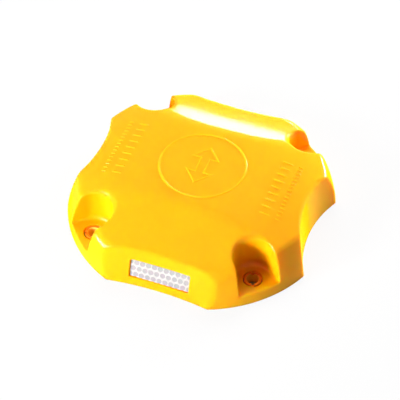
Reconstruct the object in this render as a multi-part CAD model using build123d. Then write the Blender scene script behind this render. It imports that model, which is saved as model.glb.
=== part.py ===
from build123d import *
import math
import os

# Road stud: a yellow moulded body with four corner fixing pockets and a reflector in two of its walls.
# Millimetres, +Z up. The origin is the middle of the underside, and the front reflector faces -Y.

# Outline of the body on the ground: a circle with a shallow scallop at front and rear and a deep one each side
BASE_RADIUS = 100.0
FRONT_HALF_ANGLE = 22.65
FRONT_SAG = 3.05
SIDE_HALF_ANGLE = 22.5
SIDE_SAG = 9.0

# Corner walls bulge like a barrel; the scalloped walls lean inwards by so much for each millimetre of height
BULGE_RADIUS = 73.0
BULGE_HEIGHT = -4.0
FRONT_LEAN = 0.302
SIDE_LEAN = 0.11

# Top: a crown that falls towards the sides, and a hollow slope from each crease to the front and rear walls
CROWN_HEIGHT = 43.0
CROWN_RADIUS = 490.0
CREASE_Y = 38.5
CREASE_SLOPE = 0.46
SLOPE_END_Y = 81.5
SLOPE_END_HEIGHT = 28.1
CREASE_BLEND = 18.0
UPRIGHT_BLEND = 4.0
TOP_BLEND = 3.0

# Round rim over the corner lobes: distance from the middle and height at its start, half way and end
RIM_START = (60.0, 41.5)
RIM_MIDDLE = (85.0, 35.0)
RIM_END = (110.0, 23.8)

# Corner pockets, open to the outside, with a fixing hole in the floor of each
HOLE_CIRCLE_RADIUS = 86.5
CORNER_ANGLES = {"rear_right": 45.0, "rear_left": 135.0, "front_left": 225.0, "front_right": 315.0}
POCKET_FLOOR = 9.0
POCKET_RADIUS = 14.3
POCKET_FLARE_ANGLE = 6.8
POCKET_RIM_BLEND = 2.0

# Screw-in bush with its seal, both in a counterbore of the pocket floor
COUNTERBORE_RADIUS = 7.1
COUNTERBORE_DEPTH = 3.0
THREAD_HOLE_RADIUS = 5.8
BUSH_FLANGE_RADIUS = 6.2
BUSH_FLANGE_THICKNESS = 2.2
BUSH_SHANK_RADIUS = 5.4
BUSH_BORE_RADIUS = 4.5
BUSH_EDGE = 0.4
BUSH_TURN = 65.0
DRIVER_SLOT_WIDTH = 2.2
DRIVER_SLOT_DEPTH = 1.3
SEAL_INNER_RADIUS = 5.7
SEAL_OUTER_RADIUS = 6.7
SEAL_THICKNESS = 1.0

# Reflector: film, sheet and honeycomb grid stacked on a flat seat sunk in the wall
SEAT_WIDTH = 45.0
SEAT_HEIGHT = 14.4
SEAT_CENTRE_Z = 12.8
SEAT_DEPTH = 1.6
SEAT_CUT_REACH = 6.0
SEAT_CORNER = 0.8
REFLECTOR_GAP = 0.4
FILM_THICKNESS = 0.3
SHEET_THICKNESS = 0.6
GRID_THICKNESS = 0.35
CELL_PITCH = 4.45
CELL_ROW_PITCH = 4.9
CELL_ROWS = 3
CELL_WALL = 0.85

# Underside: vertical cells between ribs
SHELL_WALL = 4.0
RIB_PITCH = 20.0
RIB_THICKNESS = 3.0
SMALLEST_CELL = 2500.0

# Raised marks on the crown: a ring round a two-way arrow, and rows of plain tread bars
MARK_HEIGHT = 0.5
RING_RADIUS = 31.6
RING_WIDTH = 2.0
ARROW_LENGTH = 40.0
ARROW_HEAD_LENGTH = 14.0
ARROW_HEAD_WIDTH = 24.0
ARROW_SHAFT_WIDTH = 9.0
ARROW_LINE = 1.8
LARGE_BAR = {"x": 56.5, "length": 8.0, "width": 2.0, "pitch": 6.6, "count": 9}
SMALL_BAR = {"x": 66.5, "length": 3.8, "width": 1.4, "pitch": 3.6, "count": 16}

# Sizes that follow from those above
BLOCK_HEIGHT = CROWN_HEIGHT + 2.0
BULGE_CENTRE = BASE_RADIUS - math.sqrt(BULGE_RADIUS**2 - BULGE_HEIGHT**2)
ON_GROUND = (Align.CENTER, Align.CENTER, Align.MIN)


def scallop_circle(half_angle, sag):
    """Radius and centre distance of the circle that cuts a scallop of this depth between two rim points."""
    half_chord = BASE_RADIUS * math.sin(math.radians(half_angle))
    chord_distance = BASE_RADIUS * math.cos(math.radians(half_angle))
    radius = (half_chord**2 + sag**2) / (2.0 * sag)
    return radius, chord_distance - sag + radius


FRONT_RADIUS, FRONT_CENTRE = scallop_circle(FRONT_HALF_ANGLE, FRONT_SAG)
SIDE_RADIUS, SIDE_CENTRE = scallop_circle(SIDE_HALF_ANGLE, SIDE_SAG)
WALL_MIDDLE_Y = FRONT_CENTRE - FRONT_RADIUS


def slope_circle():
    """Radius and centre, in Y and Z, of the circle that a slope follows from its crease to its end."""
    run = SLOPE_END_Y - CREASE_Y
    drop = CROWN_HEIGHT - SLOPE_END_HEIGHT
    tilt = math.atan(CREASE_SLOPE)
    radius = math.hypot(run, drop) / (2.0 * math.sin(tilt - math.atan2(drop, run)))
    return radius, CREASE_Y + radius * math.sin(tilt), CROWN_HEIGHT + radius * math.cos(tilt)


SLOPE_RADIUS, SLOPE_CENTRE_Y, SLOPE_CENTRE_Z = slope_circle()


def barrel_radius(z, inset):
    """Radius of the bulging corner walls at a height, drawn in by inset."""
    return BULGE_CENTRE + math.sqrt((BULGE_RADIUS - inset) ** 2 - (z - BULGE_HEIGHT) ** 2)


def bulged_round(inset):
    """Round block on the ground with the bulging corner walls, drawn in by inset."""
    low, middle, high = [(barrel_radius(z, inset), z) for z in (0.0, BLOCK_HEIGHT / 2, BLOCK_HEIGHT)]
    outline = [ThreePointArc(low, middle, high), Polyline(high, (0, BLOCK_HEIGHT), (0, 0), low)]
    return revolve(Plane.XZ * make_face(outline), Axis.Z)


def leaning_round(radius, lean, height):
    """Round block on the ground whose radius grows by lean for each millimetre of height."""
    return Cone(radius, radius + lean * height, height, align=ON_GROUND)


def crown_block(rise):
    """Long round block whose upper side is the crown, moved up by rise."""
    barrel = Cylinder(CROWN_RADIUS + rise, 4.0 * BASE_RADIUS)
    return Pos(0, 0, CROWN_HEIGHT - CROWN_RADIUS) * Rot(90, 0, 0) * barrel


def slope_height(y):
    """Height of the hollow slope over y."""
    return SLOPE_CENTRE_Z - math.sqrt(SLOPE_RADIUS**2 - (y - SLOPE_CENTRE_Y) ** 2)


def roof_block(drop):
    """Ridge-roofed block whose two hollow sides are the front and rear slopes, moved down by drop."""
    reach = 2.0 * BASE_RADIUS
    places = [(y, slope_height(y) - drop) for y in (0.0, SLOPE_CENTRE_Y / 2, SLOPE_CENTRE_Y)]
    other_places = [(-y, z) for y, z in places]
    far, near = places[-1], other_places[-1]
    outline = [
        ThreePointArc(*places), ThreePointArc(*other_places),
        Polyline(far, (far[0], -reach), (near[0], -reach), near),
    ]
    return extrude(Plane.YZ * make_face(outline), reach, both=True)


def wall_block(inset):
    """Tall block with the four scalloped walls, drawn in by inset."""
    block = bulged_round(inset)
    for side in (-1, 1):
        block -= Pos(0, side * FRONT_CENTRE, 0) * leaning_round(FRONT_RADIUS + inset, FRONT_LEAN, BLOCK_HEIGHT)
        block -= Pos(side * SIDE_CENTRE, 0, 0) * leaning_round(SIDE_RADIUS + inset, SIDE_LEAN, BLOCK_HEIGHT)
    return block


def top_block(inset):
    """Wide block under the crown and the two slopes, lowered by inset."""
    return crown_block(-inset) & roof_block(inset)


def distance_to_walls(point):
    """How far a point lies from the nearest outer wall surface."""
    x, y, z = abs(point.X), abs(point.Y), point.Z
    corner = barrel_radius(z, 0.0) - math.hypot(x, y)
    front = math.hypot(x, y - FRONT_CENTRE) - FRONT_RADIUS - FRONT_LEAN * z
    side = math.hypot(x - SIDE_CENTRE, y) - SIDE_RADIUS - SIDE_LEAN * z
    return min(abs(corner), abs(front), abs(side))


def rounded_block():
    """The outer form with its upright edges, creases and top edge rounded."""
    walls = wall_block(0.0)
    uprights = [edge for edge in walls.edges() if edge.bounding_box().size.Z > BLOCK_HEIGHT - 1.0]
    walls = fillet(uprights, UPRIGHT_BLEND)
    top = top_block(0.0)
    crease_points = [Vector(0, side * CREASE_Y, CROWN_HEIGHT) for side in (-1, 1)]
    creases = [min(top.edges(), key=lambda edge: edge.distance_to(point)) for point in crease_points]
    block = walls & fillet(creases, CREASE_BLEND)
    top_edges = [
        edge for edge in block.edges()
        if edge.bounding_box().min.Z > 10.0 and distance_to_walls(edge.position_at(0.5)) < 1.5
    ]
    return fillet(top_edges, TOP_BLEND)


def rim_block():
    """Round block that leaves the crown alone and falls away in an arc over the corner lobes."""
    outline = [
        ThreePointArc(RIM_START, RIM_MIDDLE, RIM_END),
        Polyline(
            RIM_END, (RIM_END[0], -BLOCK_HEIGHT), (0, -BLOCK_HEIGHT),
            (0, BLOCK_HEIGHT), (RIM_START[0], BLOCK_HEIGHT), RIM_START,
        ),
    ]
    return revolve(Plane.XZ * make_face(outline), Axis.Z)


def corner_place(angle):
    """Frame on the ground at a fixing hole, with its X axis pointing out of the corner."""
    return Rot(0, 0, angle) * Pos(HOLE_CIRCLE_RADIUS, 0, 0)


def pocket_block(inset):
    """The space of one pocket, about its own fixing hole, grown by inset on its walls, which widen outwards."""
    radius = POCKET_RADIUS + inset
    flare = math.radians(POCKET_FLARE_ANGLE)
    start = Vector(-radius * math.sin(flare), radius * math.cos(flare))
    end = start + BASE_RADIUS * Vector(math.cos(flare), math.sin(flare))
    other_start, other_end = Vector(start.X, -start.Y), Vector(end.X, -end.Y)
    outline = [ThreePointArc(start, (-radius, 0), other_start), Polyline(other_start, other_end, end, start)]
    return Pos(0, 0, POCKET_FLOOR) * extrude(make_face(outline), BLOCK_HEIGHT - POCKET_FLOOR)


def pocket_rim(block, angle):
    """Edges where one pocket's walls meet the top and the outer corner wall."""
    place = corner_place(angle)
    flare = math.radians(POCKET_FLARE_ANGLE)
    found = []
    for edge in block.edges():
        point = place.inverse() * Pos(edge.position_at(0.5))
        along, across, z = point.position
        past_join = along + POCKET_RADIUS * math.sin(flare)
        reach = math.hypot(along, across)
        if past_join > 0.0:
            reach = abs(across) * math.cos(flare) - along * math.sin(flare)
        on_wall = abs(reach - POCKET_RADIUS) < 0.05 and along < BASE_RADIUS / 2
        if on_wall and z > POCKET_FLOOR + 1.0 and abs(past_join) > 0.05:
            found.append(edge)
    return found


def cut_pockets(block):
    """Cuts the four pockets, rounds their rims and drills their stepped holes."""
    for angle in CORNER_ANGLES.values():
        block -= corner_place(angle) * pocket_block(0.0)
        block = fillet(pocket_rim(block, angle), POCKET_RIM_BLEND)
    for angle in CORNER_ANGLES.values():
        step = Pos(0, 0, POCKET_FLOOR - COUNTERBORE_DEPTH) * Cylinder(
            COUNTERBORE_RADIUS, BLOCK_HEIGHT, align=ON_GROUND
        )
        hole = Cylinder(THREAD_HOLE_RADIUS, BLOCK_HEIGHT)
        block -= corner_place(angle) * (step + hole)
    return block


def seat_plane(side):
    """Plane of a reflector seat: X to the right when seen from outside, Z outwards."""
    lean = math.atan(FRONT_LEAN)
    outward = Vector(0, side * math.cos(lean), math.sin(lean))
    wall_y = WALL_MIDDLE_Y - FRONT_LEAN * SEAT_CENTRE_Z
    origin = Vector(0, side * wall_y, SEAT_CENTRE_Z) - outward * SEAT_DEPTH
    return Plane(origin=origin, x_dir=(-side, 0, 0), z_dir=outward)


def seat_layer(side, gap, start, thickness):
    """Flat layer over a seat, gap in from its edges, from start to start + thickness outwards."""
    face = RectangleRounded(SEAT_WIDTH - 2 * gap, SEAT_HEIGHT - 2 * gap, SEAT_CORNER)
    return seat_plane(side).offset(start) * extrude(face, thickness)


def underside_cells():
    """The hollow spaces under the body, between a square grid of ribs and clear of the corner bosses."""
    space = wall_block(SHELL_WALL) & top_block(SHELL_WALL)
    lines = int(BASE_RADIUS / RIB_PITCH)
    for index in range(-lines, lines + 1):
        space -= Pos(index * RIB_PITCH, 0, 0) * Box(RIB_THICKNESS, 3 * BASE_RADIUS, 3 * BASE_RADIUS)
        space -= Pos(0, index * RIB_PITCH, 0) * Box(3 * BASE_RADIUS, RIB_THICKNESS, 3 * BASE_RADIUS)
    for angle in CORNER_ANGLES.values():
        space -= corner_place(angle) * Pos(0, 0, -POCKET_FLOOR) * pocket_block(SHELL_WALL)
    for side in (-1, 1):
        space -= seat_layer(side, -SHELL_WALL, -SHELL_WALL, 4 * SHELL_WALL)
    return [cell for cell in space.solids() if cell.volume > SMALLEST_CELL]


def arrow_outline(inset):
    """Two-way arrow along Y, drawn in by inset."""
    tip = ARROW_LENGTH / 2.0
    neck = tip - ARROW_HEAD_LENGTH
    head = ARROW_HEAD_WIDTH / 2.0
    shaft = ARROW_SHAFT_WIDTH / 2.0
    quarter = [(shaft, 0), (shaft, neck), (head, neck), (0, tip)]
    left = [(-x, y) for x, y in reversed(quarter[:-1])]
    upper = quarter + left
    lower = [(-x, -y) for x, y in upper[1:-1]]
    face = make_face(Polyline(*upper, *lower, close=True))
    return offset(face, -inset) if inset else face


def raised_marks():
    """Ring, two-way arrow and tread bars, standing a little above the crown."""
    ring = Circle(RING_RADIUS + RING_WIDTH / 2) - Circle(RING_RADIUS - RING_WIDTH / 2)
    marks = [ring, arrow_outline(0.0) - arrow_outline(ARROW_LINE)]
    for bar in (LARGE_BAR, SMALL_BAR):
        for side in (-1, 1):
            row = GridLocations(0, bar["pitch"], 1, bar["count"])
            marks += [Pos(side * bar["x"], 0) * place * Rectangle(bar["length"], bar["width"]) for place in row]
    skin = crown_block(MARK_HEIGHT) - crown_block(-1.0)
    return [extrude(mark, BLOCK_HEIGHT) & skin for mark in marks]


def body_shell():
    """The whole moulded body."""
    body = cut_pockets(rounded_block()) & rim_block()
    for side in (-1, 1):
        body -= seat_layer(side, 0.0, 0.0, SEAT_CUT_REACH)
    for cell in underside_cells():
        body -= cell
    for mark in raised_marks():
        body += mark
    return body


def cell_grid_face():
    """Rectangle pierced by staggered six-sided holes, leaving the honeycomb of cell walls."""
    width = SEAT_WIDTH - 2 * REFLECTOR_GAP
    height = SEAT_HEIGHT - 2 * REFLECTOR_GAP
    rim = Rectangle(width - CELL_WALL, height - CELL_WALL)
    half_width = CELL_PITCH / 2
    shoulder = CELL_ROW_PITCH / 3
    corners = [
        (0, -2 * shoulder), (half_width, -shoulder), (half_width, shoulder),
        (0, 2 * shoulder), (-half_width, shoulder), (-half_width, -shoulder),
    ]
    cell = offset(make_face(Polyline(*corners, close=True)), -CELL_WALL / 2)
    holes = []
    for row in range(CELL_ROWS):
        stagger = CELL_PITCH / 2 * (row % 2)
        y = (row - (CELL_ROWS - 1) / 2) * CELL_ROW_PITCH
        reach = int(width / CELL_PITCH / 2) + 1
        holes += [(Pos(column * CELL_PITCH + stagger, y) * cell) & rim for column in range(-reach, reach + 1)]
    return Rectangle(width, height) - [hole for hole in holes if hole is not None and hole.area > 1.0]


def reflector(side):
    """Film, sheet and cell grid of one reflector, from the seat outwards."""
    film = seat_layer(side, REFLECTOR_GAP, 0.0, FILM_THICKNESS)
    sheet = seat_layer(side, REFLECTOR_GAP, FILM_THICKNESS, SHEET_THICKNESS)
    face = seat_plane(side).offset(FILM_THICKNESS + SHEET_THICKNESS)
    grid = face * extrude(cell_grid_face(), GRID_THICKNESS)
    return {"adhesive_film": film, "reflector_sheet": sheet, "cell_grid": grid}


def bush():
    """Flanged screw-in bush with a through bore and two driver slots, about its own axis."""
    seat = POCKET_FLOOR - COUNTERBORE_DEPTH + SEAL_THICKNESS
    flange = Pos(0, 0, seat) * Cylinder(BUSH_FLANGE_RADIUS, BUSH_FLANGE_THICKNESS, align=ON_GROUND)
    flange = fillet(flange.edges().group_by(Axis.Z)[-1], BUSH_EDGE)
    shank = Cylinder(BUSH_SHANK_RADIUS, seat, align=ON_GROUND)
    shank = chamfer(shank.edges().group_by(Axis.Z)[0], BUSH_EDGE)
    top = seat + BUSH_FLANGE_THICKNESS
    slot = Pos(0, 0, top) * Box(DRIVER_SLOT_WIDTH, 4 * BUSH_FLANGE_RADIUS, 2 * DRIVER_SLOT_DEPTH)
    return flange + shank - Cylinder(BUSH_BORE_RADIUS, BLOCK_HEIGHT) - Rot(0, 0, BUSH_TURN) * slot


def seal():
    """Flat sealing ring that lies in the counterbore under the bush flange."""
    ring = Circle(SEAL_OUTER_RADIUS) - Circle(SEAL_INNER_RADIUS)
    return Pos(0, 0, POCKET_FLOOR - COUNTERBORE_DEPTH) * extrude(ring, SEAL_THICKNESS)


def all_nodes():
    """Every piece in its place, by name."""
    nodes = {"body_shell": body_shell()}
    for wall, side in (("front", -1), ("rear", 1)):
        for name, piece in reflector(side).items():
            nodes[f"{wall}_{name}"] = piece
    for corner, angle in CORNER_ANGLES.items():
        nodes[f"{corner}_bush"] = corner_place(angle) * bush()
        nodes[f"{corner}_seal"] = corner_place(angle) * seal()
    return nodes


os.makedirs("parts", exist_ok=True)
for node, shape in all_nodes().items():
    export_step(shape, f"parts/{node}.step")
    print(node, round(shape.volume, 1))
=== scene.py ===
# %% [markdown]
# # A yellow road stud
# The stud is one thick plastic moulding with a soft crown, four scalloped walls and a pocket at each
# corner. Each pocket holds a screw-in bush, and the front and rear walls hold a small reflector. The packed
# model gives every piece its place, so the scene starts from it and only makes the surfaces finer.

# %% Load the frame
import bpy
import numpy as np
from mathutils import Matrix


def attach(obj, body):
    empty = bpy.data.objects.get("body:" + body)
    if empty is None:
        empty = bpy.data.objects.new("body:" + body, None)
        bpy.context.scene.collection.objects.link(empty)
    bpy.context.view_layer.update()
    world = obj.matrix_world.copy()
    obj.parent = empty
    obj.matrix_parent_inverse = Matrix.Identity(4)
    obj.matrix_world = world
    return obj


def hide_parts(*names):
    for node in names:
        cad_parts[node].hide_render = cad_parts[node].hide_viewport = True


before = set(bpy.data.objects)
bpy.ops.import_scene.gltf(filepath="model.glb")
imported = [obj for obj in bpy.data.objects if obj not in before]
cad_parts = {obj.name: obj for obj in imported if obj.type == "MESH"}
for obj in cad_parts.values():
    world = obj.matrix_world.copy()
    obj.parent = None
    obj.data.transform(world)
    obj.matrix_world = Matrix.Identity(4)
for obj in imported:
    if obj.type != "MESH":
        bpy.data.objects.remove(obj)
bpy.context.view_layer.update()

# %% [markdown]
# ## From numbers to a piece
# Every new surface is worked out in millimetres as whole arrays. One helper turns the arrays into a mesh
# in metres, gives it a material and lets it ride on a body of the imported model.

# %% Helper that makes a piece
MM = 0.001


def add_piece(name, points, faces, material, body, replaced=()):
    """Mesh from an (n, 3) array in millimetres and an (m, 4) array of corner numbers."""
    mesh = bpy.data.meshes.new(name)
    mesh.from_pydata((np.asarray(points) * MM).tolist(), [], np.asarray(faces).tolist())
    mesh.validate()
    mesh.polygons.foreach_set("use_smooth", np.ones(len(mesh.polygons), dtype=bool))
    mesh.materials.append(material)
    piece = bpy.data.objects.new(name, mesh)
    bpy.context.scene.collection.objects.link(piece)
    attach(piece, body)
    if replaced:
        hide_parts(*replaced)
    print(name, "points", len(points), "faces", len(faces))
    return piece


def grid_faces(rows, columns, closed_rows=False, closed_columns=False):
    """Four-sided faces between neighbours of a grid, which can close on itself along either way."""
    i = np.arange(rows if closed_rows else rows - 1)
    j = np.arange(columns if closed_columns else columns - 1)
    i, j = (a.ravel() for a in np.meshgrid(i, j, indexing="ij"))
    i_next, j_next = (i + 1) % rows, (j + 1) % columns
    row, row_next = i * columns, i_next * columns
    return np.stack([row + j, row_next + j, row_next + j_next, row + j_next], 1)


print("a grid of 3 by 4 points has", len(grid_faces(3, 4)), "faces")

# %% [markdown]
# ## Yellow plastic
# The body is a through-coloured plastic with a soft gloss. It could be a plain yellow, but real mouldings
# are a little cloudy: light goes in, turns orange and comes out again near by, so the shade is warmer than
# the lit side. Subsurface scattering gives that, except on the thin open strips of the raised marks, which it
# would turn dark. Noise moves the colour and the gloss a little, and a fine bump stands for the skin that the
# mould leaves. The gloss fades where the surface is seen at a slant, so that the white surroundings don't
# wash the yellow out.

# %% Helper for node materials
def new_material(name):
    """Material with an emptied node tree, its shader and a function that adds and joins nodes."""
    material = bpy.data.materials.new(name)
    material.use_nodes = True
    tree = material.node_tree
    tree.nodes.clear()
    output = tree.nodes.new("ShaderNodeOutputMaterial")
    shader = tree.nodes.new("ShaderNodeBsdfPrincipled")
    tree.links.new(shader.outputs["BSDF"], output.inputs["Surface"])

    def add(kind, **inputs):
        node = tree.nodes.new(kind)
        for key, value in inputs.items():
            socket = node.inputs[key.replace("_", " ")]
            if isinstance(value, bpy.types.NodeSocket):
                tree.links.new(value, socket)
            else:
                socket.default_value = value
        return node

    return material, shader, add, tree.links


def noise_between(add, place, scale, detail, low, high):
    """Number that drifts between low and high with a noise of this scale (per metre)."""
    noise = add("ShaderNodeTexNoise", Vector=place, Scale=scale, Detail=detail)
    spread = add("ShaderNodeMapRange", Value=noise.outputs["Fac"])
    spread.inputs["From Min"].default_value = 0.3
    spread.inputs["From Max"].default_value = 0.7
    spread.inputs["To Min"].default_value = low
    spread.inputs["To Max"].default_value = high
    return spread.outputs["Result"]


def mix_colours(add, factor, first, second):
    """Colour between two colours by a factor socket."""
    mix = add("ShaderNodeMix")
    mix.data_type = "RGBA"
    mix.inputs[6].default_value = (*first, 1.0)
    mix.inputs[7].default_value = (*second, 1.0)
    mix.id_data.links.new(factor, mix.inputs[0])
    return mix.outputs[2]


# %% Yellow plastic material
def make_yellow_plastic(name, scatter, painted_light_lift):
    """Through-coloured moulded plastic that scatters a share of its light inside; a lift makes it paler as
    painted light.
    """
    material, shader, add, links = new_material(name)
    place = add("ShaderNodeTexCoord").outputs["Object"]
    clouds = noise_between(add, place, 18.0, 2.0, 0.0, 1.0)
    colour = mix_colours(add, clouds, (0.94, 0.40 + painted_light_lift, 0.002), (0.95, 0.41 + painted_light_lift, 0.003))
    links.new(colour, shader.inputs["Base Color"])
    links.new(noise_between(add, place, 60.0, 2.0, 0.10, 0.14), shader.inputs["Roughness"])
    grain = add("ShaderNodeTexNoise", Vector=place, Scale=900.0, Detail=2.0)
    bump = add("ShaderNodeBump", Height=grain.outputs["Fac"], Strength=0.02, Distance=0.0001)
    links.new(bump.outputs["Normal"], shader.inputs["Normal"])
    slant = add("ShaderNodeLayerWeight", Blend=0.5)
    gloss = add("ShaderNodeMapRange", Value=slant.outputs["Facing"])
    gloss.inputs["From Min"].default_value = 0.25
    gloss.inputs["From Max"].default_value = 0.75
    gloss.inputs["To Min"].default_value = 0.12
    gloss.inputs["To Max"].default_value = 0.0001
    links.new(gloss.outputs["Result"], shader.inputs["Specular IOR Level"])
    shader.inputs["IOR"].default_value = 1.5
    shader.inputs["Subsurface Weight"].default_value = scatter
    shader.inputs["Subsurface Radius"].default_value = (1.0, 0.22, 0.02)
    shader.inputs["Subsurface Scale"].default_value = 0.008
    return material


YELLOW_PLASTIC = make_yellow_plastic("yellow_plastic", scatter=0.8, painted_light_lift=0.0)
# The marks' plastic is painted paler by the lift, as painted light for the light that catches the raised
# lines.
MARK_PLASTIC = make_yellow_plastic("mark_plastic", scatter=0.0, painted_light_lift=0.05)
print("plastics:", YELLOW_PLASTIC.name, MARK_PLASTIC.name)

# %% [markdown]
# ## The outer form of the body
# The real stud comes from one mould, so every edge runs softly into the next. Patches stitched together
# would show seams, and bevels break where five surfaces meet round a pocket. So the form is written as one
# function of place that is negative inside the plastic and positive outside. Each wall is such a function,
# and a rounded meeting of two of them leaves a soft edge where they cross.

# %% Driving sizes and circles of the walls
BASE_RADIUS = 100.0
BULGE_RADIUS, BULGE_HEIGHT = 76.0, -4.0
FRONT_LEAN, SIDE_LEAN = 0.302, 0.11
CROWN_HEIGHT, CROWN_FALL, CROWN_REACH, CROWN_POWER = 43.0, 6.43, 79.4, 3.3
CREASE_Y, CREASE_SLOPE = 38.5, 0.46
SLOPE_END_Y, SLOPE_END_HEIGHT = 81.5, 28.1
HOLE_REACH = 86.5
HOLE_X = HOLE_REACH / np.sqrt(2.0)


def scallop_circle(half_angle, sag):
    """Radius and centre distance of the circle that cuts a scallop of this depth into the base circle.

    The radius is half the chord squared plus the depth squared, over twice the depth.
    """
    half = np.radians(half_angle)
    half_chord, chord_distance = BASE_RADIUS * np.sin(half), BASE_RADIUS * np.cos(half)
    radius = (half_chord**2 + sag**2) / (2.0 * sag)
    return radius, chord_distance - sag + radius


def slope_circle():
    """Radius and centre, in Y and Z, of the circle that a slope follows from its crease to its end.

    The radius is half the chord over the sine of the angle between the chord and the slope at the crease.
    """
    run, drop = SLOPE_END_Y - CREASE_Y, CROWN_HEIGHT - SLOPE_END_HEIGHT
    tilt = np.arctan(CREASE_SLOPE)
    radius = np.hypot(run, drop) / (2.0 * np.sin(tilt - np.arctan2(drop, run)))
    return radius, CREASE_Y + radius * np.sin(tilt), CROWN_HEIGHT + radius * np.cos(tilt)


FRONT_RADIUS, FRONT_CENTRE = scallop_circle(half_angle=22.65, sag=3.05)
SIDE_RADIUS, SIDE_CENTRE = scallop_circle(half_angle=22.5, sag=9.0)
SLOPE_RADIUS, SLOPE_CENTRE_Y, SLOPE_CENTRE_Z = slope_circle()
# How far out the middle of the corner walls' circle lies, so that it meets the ground at the base radius.
BULGE_CENTRE = BASE_RADIUS - np.sqrt(BULGE_RADIUS**2 - BULGE_HEIGHT**2)
print("radii of front and side scallops and slopes:", np.round((FRONT_RADIUS, SIDE_RADIUS, SLOPE_RADIUS), 1))

# %% Meeting of two forms
def square_to(lean):
    """Factor that turns a level distance to a leaning wall into the distance square to it.

    It is one over the root of one plus the lean squared.
    """
    return 1.0 / np.sqrt(1.0 + lean * lean)


def rounded_meet(a, b, radius):
    """Overlap of two forms: the larger of a and b, with a round edge where both are within radius."""
    both = np.hypot(np.maximum(a + radius, 0.0), np.maximum(b + radius, 0.0))
    return np.minimum(np.maximum(a, b), -radius) + both


def share_past(place, start, run):
    """Share of the way, from 0 to 1, along a run that begins at start."""
    return np.clip((place - start) / run, 0.0, 1.0)


print("an edge of radius 2 lies", round(float(rounded_meet(0.0, 0.0, 2.0)), 2), "inside its sharp corner")

# %% Body without its pockets
CREASE_EDGE, FRONT_EDGE = 1.6, 1.5
CROWN_EDGE, CROWN_EDGE_GAIN, CROWN_EDGE_START, CROWN_EDGE_RUN = 1.8, 2.4, 58.0, 14.0
SIDE_EDGE, SIDE_EDGE_LOSS, SIDE_EDGE_START, SIDE_EDGE_RUN = 2.4, 1.5, 20.0, 10.0


def crown_height(x, y):
    """Height of the crown: a flat dome whose fall grows with a power of the distance from its middle."""
    return CROWN_HEIGHT - CROWN_FALL * (np.hypot(x, y) / CROWN_REACH) ** CROWN_POWER


def plain_body(x, y, z):
    """Bulging corners and four leaning scallops, under a crown with a slope to the front and rear."""
    x, y = np.abs(x), np.abs(y)
    corner = np.hypot(np.hypot(x, y) - BULGE_CENTRE, z - BULGE_HEIGHT) - BULGE_RADIUS
    front = (FRONT_RADIUS + FRONT_LEAN * z - np.hypot(x, y - FRONT_CENTRE)) * square_to(FRONT_LEAN)
    side = (SIDE_RADIUS + SIDE_LEAN * z - np.hypot(x - SIDE_CENTRE, y)) * square_to(SIDE_LEAN)
    crown = z - crown_height(x, y)
    slope = SLOPE_RADIUS - np.hypot(y - SLOPE_CENTRE_Y, z - SLOPE_CENTRE_Z)
    crown_edge = CROWN_EDGE + CROWN_EDGE_GAIN * share_past(y, CROWN_EDGE_START, CROWN_EDGE_RUN)
    side_edge = SIDE_EDGE - SIDE_EDGE_LOSS * share_past(y, SIDE_EDGE_START, SIDE_EDGE_RUN)
    lobes = rounded_meet(corner, rounded_meet(crown, slope, CREASE_EDGE), crown_edge)
    return rounded_meet(rounded_meet(lobes, front, FRONT_EDGE), side, side_edge)


print("crown height in the middle and 60 mm out:", np.round(crown_height(np.array([0.0, 60.0]), 0.0), 1))

# %% [markdown]
# ## Pockets, holes and reflector seats
# Each corner pocket gives room for a bolt head and a wrench, and its floor holds a bush in a stepped hole.
# The reflectors lie in shallow seats, where tyres don't rub them. Cutting all these out of a mesh would leave
# sharp rims to be bevelled one by one. As functions of place they are turned inside out and meet the body
# like any wall, so each rim gets its own radius: large on the crown side of a pocket, small round a hole or
# a seat.

# %% Pockets
POCKET_FLOOR, POCKET_RADIUS, POCKET_LEAN, POCKET_FLARE = 9.0, 14.3, 0.01, 0.12
FLOOR_EDGE, FLOOR_EDGE_GAIN, FLOOR_EDGE_START, FLOOR_EDGE_RUN = 1.5, 3.0, -2.0, 12.0
RIM_EDGE, RIM_EDGE_GAIN, RIM_CROWN_GAIN, RIM_EDGE_RUN = 0.8, 0.6, 2.8, 14.0


def pocket_place(x, y):
    """Place from the nearest hole's axis: outwards from the middle of the stud, and across."""
    along = (np.abs(x) + np.abs(y)) / np.sqrt(2.0) - np.sqrt(2.0) * HOLE_X
    return along, (np.abs(x) - np.abs(y)) / np.sqrt(2.0)


def pocket_space(x, y, z):
    """Slot that widens outwards from a round inner end, with its softest floor corner at that end."""
    along, across = pocket_place(x, y)
    widening = POCKET_LEAN * (z - POCKET_FLOOR) + POCKET_FLARE * np.maximum(along, 0.0)
    wall = np.hypot(np.minimum(along, 0.0), across) - POCKET_RADIUS - widening
    floor_edge = FLOOR_EDGE + FLOOR_EDGE_GAIN * share_past(-along, FLOOR_EDGE_START, FLOOR_EDGE_RUN)
    return rounded_meet(wall * square_to(POCKET_FLARE), POCKET_FLOOR - z, floor_edge)


def rim_radius(x, y, z):
    """Rounding of a pocket's rim: small low down and at the sides, large above towards the crown."""
    along, across = pocket_place(x, y)
    inwards = np.clip(-along / np.maximum(np.hypot(along, across), 1.0), 0.0, 1.0)
    gain = RIM_EDGE_GAIN + RIM_CROWN_GAIN * inwards**2
    return RIM_EDGE + gain * share_past(z, POCKET_FLOOR + 1.0, RIM_EDGE_RUN)


print("pocket width at the hole:", 2.0 * POCKET_RADIUS)

# %% Holes and reflector seats
COUNTERBORE_RADIUS, COUNTERBORE_FLOOR, THREAD_HOLE_RADIUS, HOLE_EDGE = 7.1, 6.0, 5.8, 0.4
SEAT_WIDTH, SEAT_HEIGHT, SEAT_CENTRE_Z, SEAT_DEPTH = 45.0, 14.4, 12.8, 1.6
SEAT_CORNER, SEAT_EDGE = 0.8, 0.5
WALL_Y = FRONT_CENTRE - FRONT_RADIUS - FRONT_LEAN * SEAT_CENTRE_Z


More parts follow.
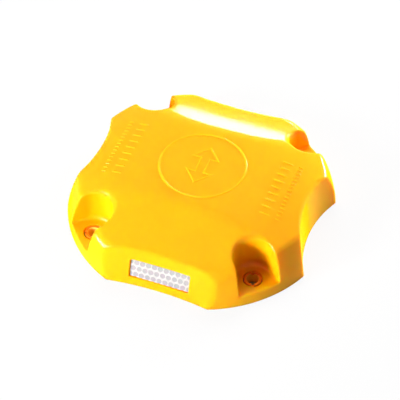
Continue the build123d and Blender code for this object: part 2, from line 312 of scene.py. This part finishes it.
def hole_space(x, y, z):
    """Round hole with a wider counterbore above it."""
    reach = np.hypot(np.abs(x) - HOLE_X, np.abs(y) - HOLE_X)
    counterbore = np.maximum(reach - COUNTERBORE_RADIUS, COUNTERBORE_FLOOR - z)
    return np.minimum(counterbore, reach - THREAD_HOLE_RADIUS)


def seat_space(x, y, z):
    """Rounded rectangle sunk square into the leaning wall."""
    level_factor, upright_factor = square_to(FRONT_LEAN), FRONT_LEAN * square_to(FRONT_LEAN)
    outwards = (np.abs(y) - WALL_Y) * level_factor + (z - SEAT_CENTRE_Z) * upright_factor + SEAT_DEPTH
    upwards = (z - SEAT_CENTRE_Z) * level_factor - (np.abs(y) - WALL_Y) * upright_factor
    past_x = np.abs(x) - SEAT_WIDTH / 2 + SEAT_CORNER
    past_up = np.abs(upwards) - SEAT_HEIGHT / 2 + SEAT_CORNER
    outside = np.hypot(np.maximum(past_x, 0.0), np.maximum(past_up, 0.0)) - SEAT_CORNER
    return np.maximum(outside + np.minimum(np.maximum(past_x, past_up), 0.0), -outwards)


def moulded_form(x, y, z):
    """The body less its pockets, reflector seats and holes, each with its own rim radius."""
    rim = rim_radius(x, y, z)
    form = rounded_meet(plain_body(x, y, z), -pocket_space(x, y, z), rim)
    form = rounded_meet(form, -seat_space(x, y, z), SEAT_EDGE)
    return rounded_meet(form, -hole_space(x, y, z), HOLE_EDGE)


print("the middle, 20 mm up, lies", round(float(-moulded_form(0.0, 0.0, 20.0)), 1), "inside the form")

# %% [markdown]
# ## A net over the form
# A function of place has no points of its own. The net takes a box of small cells: each cell that the
# surface passes through gets one point, and each grid edge that it crosses gets one face. The points then
# slide down the slope of the function until they lie on the surface. The cells are closer together at the
# seats and the pockets, where the edges are small.

# %% Moving points onto the form
SETTLE_ROUNDS, LEAST_STEEPNESS = 3, 0.05


def slope_of(form, points, step=0.02):
    """How fast the form grows along each axis, from a small step either way."""
    rises = [form(*(points + move).T) - form(*(points - move).T) for move in np.eye(3) * step]
    return np.stack(rises, 1) / (2 * step)


def settle(form, points, held_level):
    """Moves points onto the surface, along the slope by the form's value over the slope's length squared.

    Points that are held level move in X and Y only.
    """
    for _ in range(SETTLE_ROUNDS):
        slope = slope_of(form, points)
        slope[held_level, 2] = 0.0
        steep = np.maximum((slope**2).sum(1), LEAST_STEEPNESS)
        points = points - slope * (form(*points.T) / steep)[:, None]
    return points


probe = settle(moulded_form, np.array([[0.0, 0.0, 40.0]]), np.array([False]))
print("a point below the crown settles at height", round(probe[0, 2], 2))

# %% Net of cells
def net_over(form, xs, ys, zs):
    """One point in each cell that the surface crosses, one face across each grid edge that it crosses."""
    values = form(*np.meshgrid(xs, ys, zs, indexing="ij"))
    cells = np.array(values.shape) - 1
    total, count, faces = np.zeros((*cells, 3)), np.zeros(cells), []
    for axis in range(3):
        before = np.delete(values, -1, axis)
        after = np.delete(values, 0, axis)
        crossed = (before < 0) != (after < 0)
        index = np.array(np.nonzero(crossed))
        share = before[crossed] / (before[crossed] - after[crossed])
        place = np.stack([line[i] for line, i in zip((xs, ys, zs), index)], 1)
        line = (xs, ys, zs)[axis]
        place[:, axis] += share * (line[index[axis] + 1] - line[index[axis]])
        first, second = (other for other in range(3) if other != axis)
        ring = np.repeat(index[None], 4, 0)
        ring[:, first] -= np.array([1, 0, 0, 1])[:, None]
        ring[:, second] -= np.array([1, 1, 0, 0])[:, None]
        real = ((ring >= 0) & (ring < cells[None, :, None])).all(1)
        for corner, there in zip(ring, real):
            np.add.at(total, tuple(corner[:, there]), place[there])
            np.add.at(count, tuple(corner[:, there]), 1)
        whole = real.all(0)
        numbers = np.stack([np.ravel_multi_index(tuple(c[:, whole]), cells) for c in ring], 1)
        outwards = (before[crossed][whole] < 0) == (axis != 1)
        faces.append(np.where(outwards[:, None], numbers, numbers[:, ::-1]))
    used = np.nonzero(count.ravel())[0]
    renumber = np.zeros(count.size, dtype=int)
    renumber[used] = np.arange(len(used))
    points = total.reshape(-1, 3)[used] / count.ravel()[used][:, None]
    return points, renumber[np.concatenate(faces)], used % cells[2] == 0


# %% Grid lines
def spaced(*stops):
    """Grid lines through pairs of place and spacing, each spacing used as far as the next place."""
    lines = [stops[0][:1]]
    for (start, step), (end, _) in zip(stops, stops[1:]):
        lines.append(np.linspace(start, end, round((end - start) / step) + 1)[1:])
    return np.concatenate(lines)


def both_ways(half):
    """The same lines on both sides of zero."""
    return np.concatenate([-half[:0:-1], half])


print("lines closer together past 2:", both_ways(spaced((0.0, 1.0), (2.0, 0.5), (3.0, 0.5))))

# %% Net of the moulded skin
SHELL = ["body_shell"]
x_lines = both_ways(spaced((0.0, 1.1), (20.5, 0.5), (24.5, 1.1), (52.0, 0.7), (71.0, 1.1), (93.0, 1.0)))
y_lines = both_ways(spaced((0.0, 1.1), (52.0, 0.7), (93.5, 1.0)))
z_lines = spaced((-0.45, 0.9), (4.95, 0.5), (21.95, 0.9), (45.0, 1.0))
print("grid lines:", len(x_lines), len(y_lines), len(z_lines))
skin_points, skin_faces, on_ground = net_over(moulded_form, x_lines, y_lines, z_lines)
skin_points[on_ground, 2] = 0.0
skin_points = settle(moulded_form, skin_points, on_ground)
skin_faces = skin_faces[~on_ground[skin_faces].all(1)]
add_piece("moulded_skin", skin_points, skin_faces, YELLOW_PLASTIC, "stud", SHELL)

# %% [markdown]
# ## The ribbed underside
# Below, the plastic is cored out into cells so that it cools evenly. Those flat walls are already right in
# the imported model, so this piece is a merged copy of its faces well inside the form or on the ground.

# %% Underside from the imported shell
import bmesh

# HAIR is the margin, in millimetres, within which two sizes count as the same.
INNER_DEPTH, HAIR = 2.0, 0.01


def make_underside():
    """Copy of the shell with only the faces on the ground or well inside the form."""
    mesh = bpy.data.meshes.new("ribbed_underside")
    cut = bmesh.new()
    cut.from_mesh(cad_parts["body_shell"].data)
    bmesh.ops.remove_doubles(cut, verts=cut.verts, dist=1e-6)
    middles = np.array([face.calc_center_median() for face in cut.faces]) / MM
    keep = (moulded_form(*middles.T) < -INNER_DEPTH) | (middles[:, 2] < HAIR)
    dropped = [face for face, kept in zip(cut.faces, keep) if not kept]
    bmesh.ops.delete(cut, geom=dropped, context="FACES")
    cut.to_mesh(mesh)
    cut.free()
    mesh.materials.clear()
    mesh.materials.append(YELLOW_PLASTIC)
    mesh.shade_flat()
    return mesh


underside = bpy.data.objects.new("ribbed_underside", make_underside())
bpy.context.scene.collection.objects.link(underside)
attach(underside, "stud")
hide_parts("body_shell")
print("ribbed_underside faces", len(underside.data.polygons))

# %% [markdown]
# ## Raised marks on the crown
# The mould leaves thin raised lines: a ring round a two-way arrow, and rows of tread bars at both sides. They
# could be cut into the net, but it is too coarse for lines a millimetre wide. So each mark is its own strip:
# a hump-shaped section carried along a path, with its foot sunk a little into the crown. The marks are
# painted a little paler than the crown, as painted light for the light that catches their raised sides.

# %% Section of a raised line
MARK_HEIGHT, MARK_FOOT = 0.55, 0.1


def hump(share):
    """Height of a soft ridge over the share of the way from its middle to its edge: a cosine squared."""
    return np.cos(share * np.pi / 2) ** 2 * (MARK_HEIGHT + MARK_FOOT) - MARK_FOOT


def line_section(width, steps=13):
    """Places across a line from its right to its left edge, and the heights of its ridge."""
    share = np.linspace(1.0, -1.0, steps)
    return share * width / 2, hump(share)


def on_crown(x, y, height):
    """Points over x and y at a height above the crown."""
    x, y, height = np.broadcast_arrays(x, y, height)
    return np.stack([x, y, crown_height(x, y) + height], -1).reshape(-1, 3)


print("ridge height above the crown:", round(float(hump(0.0)), 2))

# %% Ring mark
RING_RADIUS, RING_WIDTH, RING_STEPS = 31.6, 2.6, 180
across, height = line_section(RING_WIDTH)
turn = np.linspace(0.0, 2.0 * np.pi, RING_STEPS, endpoint=False)[:, None]
ring_points = on_crown((RING_RADIUS + across) * np.cos(turn), (RING_RADIUS + across) * np.sin(turn), height)
ring_faces = grid_faces(RING_STEPS, len(across), closed_rows=True)
add_piece("ring_mark", ring_points, ring_faces, MARK_PLASTIC, "stud", SHELL)

# %% Two-way arrow mark
ARROW_LENGTH, HEAD_LENGTH, HEAD_WIDTH, SHAFT_WIDTH, ARROW_LINE = 40.0, 14.0, 24.0, 9.0, 2.4
ARROW_SHARP_ANGLE = 40.0


def arrow_outline():
    """Corners of a two-way arrow along Y, anticlockwise from the right of its shaft."""
    tip, neck = ARROW_LENGTH / 2, ARROW_LENGTH / 2 - HEAD_LENGTH
    shaft, head = SHAFT_WIDTH / 2, HEAD_WIDTH / 2
    upper = np.array([(shaft, neck), (head, neck), (0.0, tip), (-head, neck), (-shaft, neck)])
    return np.concatenate([upper, -upper])


def mitred_line(corners, width):
    """Line inside a closed outline: each corner point moves along the mitre of its two sides.

    The mitre is the sum of both sides' outward directions over one plus their dot product.
    """
    sides = np.roll(corners, -1, 0) - corners
    sides /= np.linalg.norm(sides, axis=1)[:, None]
    outwards = np.stack([sides[:, 1], -sides[:, 0]], 1)
    before = np.roll(outwards, 1, 0)
    mitre = (outwards + before) / (1.0 + (outwards * before).sum(1))[:, None]
    across, height = line_section(width)
    place = corners[:, None] + mitre[:, None] * (across - width / 2)[None, :, None]
    faces = grid_faces(len(corners), len(across), closed_rows=True)
    return on_crown(place[..., 0], place[..., 1], height), faces


arrow_points, arrow_faces = mitred_line(arrow_outline(), ARROW_LINE)
arrow = add_piece("arrow_mark", arrow_points, arrow_faces, MARK_PLASTIC, "stud", SHELL)
arrow.data.set_sharp_from_angle(angle=np.radians(ARROW_SHARP_ANGLE))

# %% Tread bars
END_POWER = 6


def bar_row(x, length, width, pitch, count):
    """Middles and sizes of a row of bars on both sides of the crown, each bar lying along X."""
    y = (np.arange(count) - (count - 1) / 2) * pitch
    middles = np.stack(np.meshgrid((-x, x), y, indexing="ij"), -1).reshape(-1, 2)
    return middles, np.tile((length, width), (len(middles), 1))


def pillows(middles, sizes, steps=9):
    """Short ridges: the same section across each bar, and a quicker fall to its two ends."""
    even = np.linspace(-1.0, 1.0, steps)
    along, across = np.meshgrid(np.sin(even * np.pi / 2), even, indexing="ij")
    height = hump(np.clip(np.hypot(across, along**END_POWER), 0.0, 1.0))
    x = middles[:, 0, None, None] + sizes[:, 0, None, None] / 2 * along
    y = middles[:, 1, None, None] + sizes[:, 1, None, None] / 2 * across
    starts = np.arange(len(middles))[:, None, None] * steps**2
    return on_crown(x, y, height), (grid_faces(steps, steps) + starts).reshape(-1, 4)


large_bars = bar_row(x=56.5, length=8.0, width=2.6, pitch=6.6, count=9)
small_bars = bar_row(x=66.5, length=3.8, width=1.8, pitch=3.6, count=16)
bar_points, bar_faces = pillows(*(np.concatenate(pair) for pair in zip(large_bars, small_bars)))
add_piece("tread_bars", bar_points, bar_faces, MARK_PLASTIC, "stud", SHELL)

# %% [markdown]
# ## Reflectors
# Each reflector is a pearly sheet full of tiny glass beads under a clear face. White cell walls hold the face
# off the beads, so the sheet shows as a honeycomb of greyish round cells. A picture of cells on a flat sheet
# would have no depth, so the walls stand up as a height over a grid that covers the sheet: high between the
# cells and sunk below the sheet inside them.

# %% Materials of the reflector
def make_pearly_sheet():
    """Beaded sheet: grey-white with faint pink and green drifts, a fine grain and a clear gloss."""
    material, shader, add, links = new_material("pearly_sheet")
    place = add("ShaderNodeTexCoord").outputs["Object"]
    drift = noise_between(add, place, 260.0, 1.0, 0.0, 1.0)
    links.new(mix_colours(add, drift, (0.34, 0.28, 0.31), (0.29, 0.31, 0.30)), shader.inputs["Base Color"])
    links.new(noise_between(add, place, 900.0, 2.0, 0.3, 0.45), shader.inputs["Roughness"])
    beads = add("ShaderNodeTexVoronoi", Vector=place, Scale=2500.0)
    bump = add("ShaderNodeBump", Height=beads.outputs["Distance"], Strength=0.15, Distance=0.0001)
    links.new(bump.outputs["Normal"], shader.inputs["Normal"])
    shader.inputs["Coat Weight"].default_value = 0.3
    shader.inputs["Coat Roughness"].default_value = 0.1
    return material


def make_cell_white():
    """Sealed white cell walls with a slightly uneven gloss."""
    material, shader, add, links = new_material("cell_white")
    place = add("ShaderNodeTexCoord").outputs["Object"]
    drift = noise_between(add, place, 300.0, 2.0, 0.0, 1.0)
    links.new(mix_colours(add, drift, (0.46, 0.44, 0.44), (0.49, 0.48, 0.47)), shader.inputs["Base Color"])
    links.new(noise_between(add, place, 700.0, 2.0, 0.35, 0.5), shader.inputs["Roughness"])
    return material


def make_adhesive():
    """Pale acrylic film with small trapped bubbles."""
    material, shader, add, links = new_material("adhesive_film")
    place = add("ShaderNodeTexCoord").outputs["Object"]
    drift = noise_between(add, place, 400.0, 3.0, 0.0, 1.0)
    links.new(mix_colours(add, drift, (0.60, 0.59, 0.55), (0.68, 0.67, 0.63)), shader.inputs["Base Color"])
    shader.inputs["Roughness"].default_value = 0.6
    return material


PEARLY_SHEET, CELL_WHITE, ADHESIVE = make_pearly_sheet(), make_cell_white(), make_adhesive()
for wall in ("front", "rear"):
    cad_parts[f"{wall}_reflector_sheet"].data.materials[0] = PEARLY_SHEET
    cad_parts[f"{wall}_adhesive_film"].data.materials[0] = ADHESIVE

# %% Honeycomb walls
REFLECTOR_GAP, SHEET_TOP, CELL_WALL_HEIGHT = 0.4, 0.9, 0.35
CELL_PITCH, CELL_ROW_PITCH, CELL_RADIUS = 4.45, 4.9, 1.9
CELL_EDGE, CELL_SINK, CELL_SQUASH = 0.35, 0.15, 0.95


def on_seat(side, across, upwards, outwards):
    """Points in a seat's leaning frame: to the right seen from outside, up, and outwards from its floor."""
    level, upright = square_to(FRONT_LEAN), FRONT_LEAN * square_to(FRONT_LEAN)
    depth = outwards - SEAT_DEPTH
    y = side * (WALL_Y - upwards * upright + depth * level)
    z = SEAT_CENTRE_Z + upwards * level + depth * upright
    return np.stack(np.broadcast_arrays(-side * across, y, z), -1).reshape(-1, 3)


def cell_walls(side, spacing=0.27):
    """Height over the seat: a soft step at the cell edge, by the distance to the nearest cell middle.

    The step is three times the square of the share of the way across the edge, less twice its cube.
    """
    half_width, half_height = SEAT_WIDTH / 2 - REFLECTOR_GAP, SEAT_HEIGHT / 2 - REFLECTOR_GAP
    across = np.linspace(-half_width, half_width, round(2 * half_width / spacing) + 1)
    upwards = np.linspace(-half_height, half_height, round(2 * half_height / spacing) + 1)
    across, upwards = np.meshgrid(across, upwards, indexing="ij")
    row = np.arange(-1, 2)[:, None, None]
    stagger = (row % 2 == 0) * CELL_PITCH / 2
    nearest = np.round((across - stagger) / CELL_PITCH) * CELL_PITCH + stagger
    reach = np.hypot(across - nearest, (upwards - row * CELL_ROW_PITCH) * CELL_SQUASH).min(0)
    rise = np.clip((reach - CELL_RADIUS) / CELL_EDGE + 0.5, 0.0, 1.0)
    rise = rise * rise * (3.0 - 2.0 * rise)
    outwards = SHEET_TOP - CELL_SINK + (CELL_WALL_HEIGHT + CELL_SINK) * rise
    faces = grid_faces(*across.shape)
    shows = (outwards.ravel()[faces] > SHEET_TOP).any(1)
    used, faces = np.unique(faces[shows], return_inverse=True)
    points = on_seat(side, across, upwards, outwards)[used]
    return points, faces.reshape(-1, 4)


for wall, side in (("front", -1), ("rear", 1)):
    points, faces = cell_walls(side)
    add_piece(f"{wall}_cell_walls", points, faces, CELL_WHITE, "stud", [f"{wall}_cell_grid"])

# %% [markdown]
# ## Bushes and seals
# A bush is metal with a coat of the body's hue: a flange with a driver slot, a plain bore for the anchor bolt
# and a thread outside. Its surface is a section carried round the hole's axis. Where the slot crosses, the
# upper part of the flange is squeezed down, and on the shank the radius runs in and out along a helix. The
# coat is duller than the body. Its bore is painted lighter and more yellow, as painted light against the
# shade inside the bore. The seal below is a plain rubber ring, and the imported one is right as it is.

# %% Materials of bush and seal
def make_bush_coat():
    """Dull yellow-orange coat with a random tone, and a bore painted lighter as painted light against its
    shade.
    """
    material, shader, add, links = new_material("bush_coat")
    place = add("ShaderNodeTexCoord").outputs["Object"]
    clouds = noise_between(add, place, 350.0, 3.0, 0.0, 1.0)
    coat_colour = mix_colours(add, clouds, (0.84, 0.24, 0.012), (0.78, 0.21, 0.010))
    # The bore attribute picks the bore's wall, whose colour is painted lighter as painted light against its
    # shade.
    bore = add("ShaderNodeAttribute")
    bore.attribute_name = "bore"
    bore_painted_light = mix_colours(add, bore.outputs["Fac"], (0.0, 0.0, 0.0), (0.99, 0.60, 0.10))
    links.new(coat_colour, bore_painted_light.node.inputs[6])
    links.new(bore_painted_light, shader.inputs["Base Color"])
    links.new(noise_between(add, place, 800.0, 3.0, 0.35, 0.55), shader.inputs["Roughness"])
    shader.inputs["Specular IOR Level"].default_value = 0.01
    return material


def make_seal_rubber():
    """Red-brown rubber with a fine matt grain."""
    material, shader, add, links = new_material("seal_rubber")
    place = add("ShaderNodeTexCoord").outputs["Object"]
    dust = noise_between(add, place, 600.0, 3.0, 0.0, 1.0)
    links.new(mix_colours(add, dust, (0.18, 0.035, 0.018), (0.15, 0.028, 0.014)), shader.inputs["Base Color"])
    shader.inputs["Roughness"].default_value = 0.7
    return material


BUSH_COAT, SEAL_RUBBER = make_bush_coat(), make_seal_rubber()
print("coat and rubber:", BUSH_COAT.name, SEAL_RUBBER.name)

# %% Section of a bush
BUSH_TOP, FLANGE_FOOT, FLANGE_RADIUS, BORE_RADIUS = 9.2, 7.0, 6.2, 4.5
THREAD_RADIUS, THREAD_DEPTH, THREAD_LEAD = 5.3, 0.25, 1.75
BUSH_EDGE, FOOT_CHAMFER = 0.4, 0.3


def bush_section():
    """Radii and heights once round a section: up the bore, over the flange, down the shank and back below."""
    corner = np.linspace(0.0, np.pi / 2, 6)
    rise, fall = BUSH_EDGE * np.sin(corner), BUSH_EDGE * np.cos(corner)
    inner, outer, shoulder = BORE_RADIUS + BUSH_EDGE, FLANGE_RADIUS - BUSH_EDGE, BUSH_TOP - BUSH_EDGE
    pieces = [
        np.linspace((BORE_RADIUS, FOOT_CHAMFER), (BORE_RADIUS, shoulder), 9),
        np.stack([inner - fall, shoulder + rise], 1)[1:],
        np.linspace((inner, BUSH_TOP), (outer, BUSH_TOP), 7)[1:],
        np.stack([outer + rise, shoulder + fall], 1)[1:],
        np.linspace((FLANGE_RADIUS, shoulder), (FLANGE_RADIUS, FLANGE_FOOT), 6)[1:],
        np.linspace((FLANGE_RADIUS, FLANGE_FOOT), (THREAD_RADIUS, FLANGE_FOOT), 4)[1:],
        np.linspace((THREAD_RADIUS, FLANGE_FOOT), (THREAD_RADIUS, FOOT_CHAMFER), 40)[1:],
        np.array([(THREAD_RADIUS - FOOT_CHAMFER, 0.0), (BORE_RADIUS + FOOT_CHAMFER, 0.0)]),
    ]
    return np.concatenate(pieces).T


print("points in a bush section:", bush_section().shape[1])

# %% Surface of a bush
SLOT_WIDTH, SLOT_DEPTH, SLOT_EDGE, SLOT_FOOT, SLOT_TURN = 2.2, 1.3, 0.2, 0.4, 65.0
THREAD_FADE_TOP, THREAD_FADE_FOOT = 1.2, 0.8


def bush_points(middle_x, middle_y, corner_angle, steps=180):
    """The section carried round the hole's axis, squeezed where the slot crosses, with a helical shank.

    The thread is a triangle wave of the height over the lead, less the share of a turn.
    """
    radius, height = (a[None] for a in bush_section())
    turn = np.linspace(0.0, 2.0 * np.pi, steps, endpoint=False)[:, None]
    on_shank = (radius > THREAD_RADIUS - HAIR) & (height < FLANGE_FOOT - HAIR)
    fade = share_past(-height, -FLANGE_FOOT, THREAD_FADE_TOP) * share_past(height, 0.0, THREAD_FADE_FOOT)
    wave = np.abs((height / THREAD_LEAD - turn / (2 * np.pi)) % 1.0 - 0.5) * 2.0 - 0.5
    radius = radius + on_shank * fade * THREAD_DEPTH * 2.0 * wave
    slot_turn = turn - np.radians(SLOT_TURN + 90.0)
    past = np.abs(radius * np.sin(slot_turn)) - SLOT_WIDTH / 2
    open_share = np.clip(0.5 - past / SLOT_EDGE, 0.0, 1.0)
    foot = BUSH_TOP - SLOT_DEPTH - SLOT_FOOT
    squeezed = foot + (height - foot) * (1.0 - SLOT_DEPTH / (BUSH_TOP - foot))
    height = np.where(height > foot, height + (squeezed - height) * open_share, height)
    angle = turn + np.radians(corner_angle)
    points = (middle_x + radius * np.cos(angle), middle_y + radius * np.sin(angle), height + 0.0 * turn)
    faces = grid_faces(steps, height.shape[1], closed_rows=True, closed_columns=True)
    return np.stack(points, -1).reshape(-1, 3), faces


print("turns of thread on a shank:", FLANGE_FOOT / THREAD_LEAD)

# %% Four bushes and their seals
BUSH_SHARP_ANGLE, BORE_MARGIN = 50.0, 0.1
CORNERS = {"rear_right": 45.0, "rear_left": 135.0, "front_left": 225.0, "front_right": 315.0}
for corner, angle in CORNERS.items():
    middle = HOLE_REACH * np.cos(np.radians(angle)), HOLE_REACH * np.sin(np.radians(angle))
    points, faces = bush_points(*middle, angle)
    name, body, replaced = f"{corner}_slotted_bush", f"{corner}_screw_bush", [f"{corner}_bush"]
    bush = add_piece(name, points, faces, BUSH_COAT, body, replaced)
    bush.data.set_sharp_from_angle(angle=np.radians(BUSH_SHARP_ANGLE))
    # Points in the bore are marked for the painted light that lightens their colour against the shade in the
    # bore.
    bore_light_mask = np.hypot(*(points[:, :2] - middle).T) < BORE_RADIUS + BORE_MARGIN
    bore_light_attribute = bush.data.attributes.new("bore", "FLOAT", "POINT")
    bore_light_attribute.data.foreach_set("value", bore_light_mask.astype(np.float32))
    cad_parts[f"{corner}_seal"].data.materials[0] = SEAL_RUBBER

# %% [markdown]
# ## Floor and world
# The stage is a white floor in a white world. If they were simply white, they would send so much light back
# that the shade on the walls is lost. So both are white only to rays from the camera and in reflections. For
# all other rays the floor is a matt grey, and the world gives a faint fill. A small share of the grey also
# shows to the camera, so that the floor keeps a light shadow. Below the four bores the floor is grey to all
# rays, or the bores would show as white spots.

# %% Rays that see the background
def combined(tree, operation, first, second):
    """Socket with two numbers, or sockets of numbers, combined by a named operation."""
    node = tree.nodes.new("ShaderNodeMath")
    node.operation = operation
    for socket, value in zip(node.inputs, (first, second)):
        if isinstance(value, bpy.types.NodeSocket):
            tree.links.new(value, socket)
        else:
            socket.default_value = value
    return node.outputs["Value"]


def rays_that_see(tree):
    """Socket that is 1 for rays from the camera, mirrored rays and rays through glass, else 0."""
    path = tree.nodes.new("ShaderNodeLightPath").outputs
    seen = combined(tree, "MAXIMUM", path["Is Camera Ray"], path["Is Glossy Ray"])
    return combined(tree, "MAXIMUM", seen, path["Is Transmission Ray"])


# %% Floor
FLOOR_HALF, FLOOR_DROP, FLOOR_GREY, FLOOR_WHITE_SHARE = 3.0, 0.0002, 0.68, 0.9
BORE_SPOT = 0.009


def away_from_bores(add, tree):
    """Socket that is 0 on the floor within reach of a bore's axis, and 1 elsewhere."""
    mirrored = add("ShaderNodeVectorMath", Vector=add("ShaderNodeTexCoord").outputs["Object"])
    mirrored.operation = "ABSOLUTE"
    reach = add("ShaderNodeVectorMath", Vector=mirrored.outputs["Vector"])
    reach.operation = "DISTANCE"
    reach.inputs[1].default_value = (HOLE_X * MM, HOLE_X * MM, 0.0)
    return combined(tree, "GREATER_THAN", reach.outputs["Value"], BORE_SPOT)


def make_floor_material():
    """Matt grey that shows mostly white to rays that see it, except below the four bores."""
    material, shader, add, links = new_material("pale_floor")
    tree = material.node_tree
    shader.inputs["Base Color"].default_value = (FLOOR_GREY, FLOOR_GREY, FLOOR_GREY, 1.0)
    shader.inputs["Roughness"].default_value = 1.0
    shader.inputs["Specular IOR Level"].default_value = 0.0
    lit = combined(tree, "MULTIPLY", rays_that_see(tree), away_from_bores(add, tree))
    output = shader.outputs["BSDF"].links[0].to_node
    mix = add("ShaderNodeMixShader")
    links.new(combined(tree, "MULTIPLY", lit, FLOOR_WHITE_SHARE), mix.inputs[0])
    links.new(shader.outputs["BSDF"], mix.inputs[1])
    links.new(add("ShaderNodeEmission").outputs["Emission"], mix.inputs[2])
    links.new(mix.outputs["Shader"], output.inputs["Surface"])
    return material


def make_floor():
    """Large square just below the stud, which keeps a light shadow."""
    mesh = bpy.data.meshes.new("floor")
    low, high = -FLOOR_HALF, FLOOR_HALF
    mesh.from_pydata([(low, low, 0), (high, low, 0), (high, high, 0), (low, high, 0)], [], [(0, 1, 2, 3)])
    mesh.materials.append(make_floor_material())
    floor = bpy.data.objects.new("floor", mesh)
    bpy.context.scene.collection.objects.link(floor)
    floor.location.z = -FLOOR_DROP
    print("floor width", 2.0 * FLOOR_HALF)


make_floor()

# %% World
WORLD_FILL = 0.015


def make_world():
    """White to the camera and in reflections, with a faint fill for everything else."""
    world = bpy.data.worlds.new("studio")
    world.use_nodes = True
    bpy.context.scene.world = world
    tree = world.node_tree
    background = tree.nodes["Background"]
    background.inputs["Color"].default_value = (1.0, 1.0, 1.0, 1.0)
    strength = tree.nodes.new("ShaderNodeMapRange")
    strength.inputs["To Min"].default_value = WORLD_FILL
    strength.inputs["To Max"].default_value = 1.0
    tree.links.new(rays_that_see(tree), strength.inputs["Value"])
    tree.links.new(strength.outputs["Result"], background.inputs["Strength"])
    print("world fill", WORLD_FILL)


make_world()

# %% [markdown]
# ## Lamps
# One large lamp would light the form but leave no streaks, so each lamp has one task. A key and a low key at
# the front left give the form. A low panel at the right lights the right walls, and two wide lamps above
# the right and the rear fill the shade. Two cards that are only mirrored leave the narrow glare beside the
# left pocket and on the rear slope. Angles are in degrees, from +X and from the floor, and lengths in metres.

# %% Lamps
from mathutils import Matrix, Vector


def add_lamp(name, azimuth, elevation, distance, width, height, level, shows="all"):
    """Rectangular soft lamp facing the stud; at level 1 a surface square to it shows its own colour.

    Its power is the level times the square of pi times the distance.
    One that shows "gloss" is only mirrored, and one that shows "matt" only lights the colour.
    """
    light = bpy.data.lights.new(name, "AREA")
    light.shape = "RECTANGLE"
    light.size, light.size_y = width, height
    light.energy = level * (np.pi * distance) ** 2
    lamp = bpy.data.objects.new(name, light)
    bpy.context.scene.collection.objects.link(lamp)
    around, above = np.radians((azimuth, elevation))
    towards = Vector((np.cos(around) * np.cos(above), np.sin(around) * np.cos(above), np.sin(above)))
    facing = towards.to_track_quat("Z", "Y").to_matrix().to_4x4()
    lamp.matrix_world = Matrix.Translation(towards * distance) @ facing
    lamp.visible_diffuse = shows != "gloss"
    lamp.visible_glossy = shows != "matt"
    print(name, "power", round(light.energy, 1))


add_lamp("key", 232.0, 26.0, 0.8, 0.16, 0.20, 0.98)
add_lamp("low_key", 250.0, 11.0, 0.8, 0.20, 0.16, 0.86, "matt")
add_lamp("left_card", 218.0, 14.5, 0.9, 0.26, 0.30, 1.9, "gloss")
add_lamp("right_panel", 61.0, 7.0, 1.2, 0.5, 0.25, 2.2)
add_lamp("top_right", 66.0, 30.0, 1.2, 0.6, 0.6, 0.40, "matt")
add_lamp("top_rear", 116.0, 56.0, 1.2, 0.6, 0.6, 0.68, "matt")
add_lamp("rear_card", 99.0, 4.5, 1.2, 0.32, 0.18, 0.38, "gloss")

# %% [markdown]
# ## Camera
# The stud is seen from above its front, a little from the right, with a long lens. A guess by eye would leave
# the outline askew, so the angles, the distance and the lens were fitted to points of the photo's outline.

# %% Camera
AZIMUTH, ELEVATION, ROLL = np.radians((20.083, 47.03, 0.799))
CAMERA_DISTANCE, SENSOR_WIDTH, LENS = 1.12257, 36.0, 138.41
CAMERA_TARGET = np.array([0.003105, -0.013132, 0.020])


def make_camera():
    """Camera that looks at the target from an azimuth and an elevation, with a slight roll."""
    back = np.array([
        np.sin(AZIMUTH) * np.cos(ELEVATION), -np.cos(AZIMUTH) * np.cos(ELEVATION), np.sin(ELEVATION)
    ])
    level = np.array([np.cos(AZIMUTH), np.sin(AZIMUTH), 0.0])
    upright = np.cross(back, level)
    right = np.cos(ROLL) * level + np.sin(ROLL) * upright
    up = np.cos(ROLL) * upright - np.sin(ROLL) * level
    data = bpy.data.cameras.new("camera")
    data.sensor_width = SENSOR_WIDTH
    data.lens = LENS
    camera = bpy.data.objects.new("camera", data)
    bpy.context.scene.collection.objects.link(camera)
    place = np.eye(4)
    place[:3, 0], place[:3, 1], place[:3, 2] = right, up, back
    place[:3, 3] = CAMERA_TARGET + back * CAMERA_DISTANCE
    camera.matrix_world = Matrix(place.tolist())
    bpy.context.scene.camera = camera
    print("camera height", round(place[2, 3], 3))


make_camera()
bpy.context.scene.view_settings.view_transform = "Standard"
